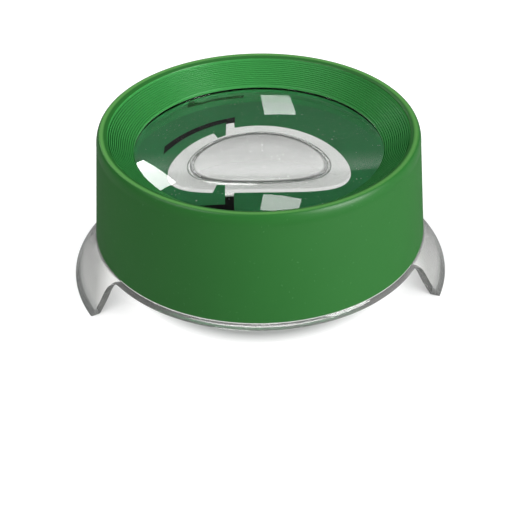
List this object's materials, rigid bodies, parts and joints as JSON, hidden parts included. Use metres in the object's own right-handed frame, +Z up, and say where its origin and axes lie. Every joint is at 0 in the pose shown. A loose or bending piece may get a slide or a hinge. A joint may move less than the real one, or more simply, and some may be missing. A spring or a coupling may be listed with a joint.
{
  "type": "stand magnifier",
  "caption": "Low round stand magnifier: opaque housing with a finely grooved funnel round a wide clear lens, on a flared clear base with arches that twists off.",
  "frame": {"origin": "on the table under the middle of the lens, the centre of the base's footprint", "axes": "+Z up along the lens axis; the two feet stand at +X and -X, and the arches open towards -Y and +Y"},
  "size_m": [0.0806, 0.0708, 0.0334],
  "materials": {
    "housing_plastic": "green plastic, satin outside with a soft feel, glossier in the grooved funnel",
    "ring_plastic": "the same green plastic, unpainted semi-gloss",
    "lens_acrylic": "polished clear acrylic",
    "base_acrylic": "moulded clear acrylic"
  },
  "bodies": {
    "head": {"housing": "housing_plastic", "lens": "lens_acrylic", "lens_ring": "ring_plastic"},
    "base": {"clear_base": "base_acrylic"}
  },
  "joints": [
    {"name": "base_twist", "type": "hinge", "parent": "head", "child": "base", "pos_m": [0, 0, 0.0097], "axis": [0, 0, 1], "range_deg": [0, 24]}
  ]
}
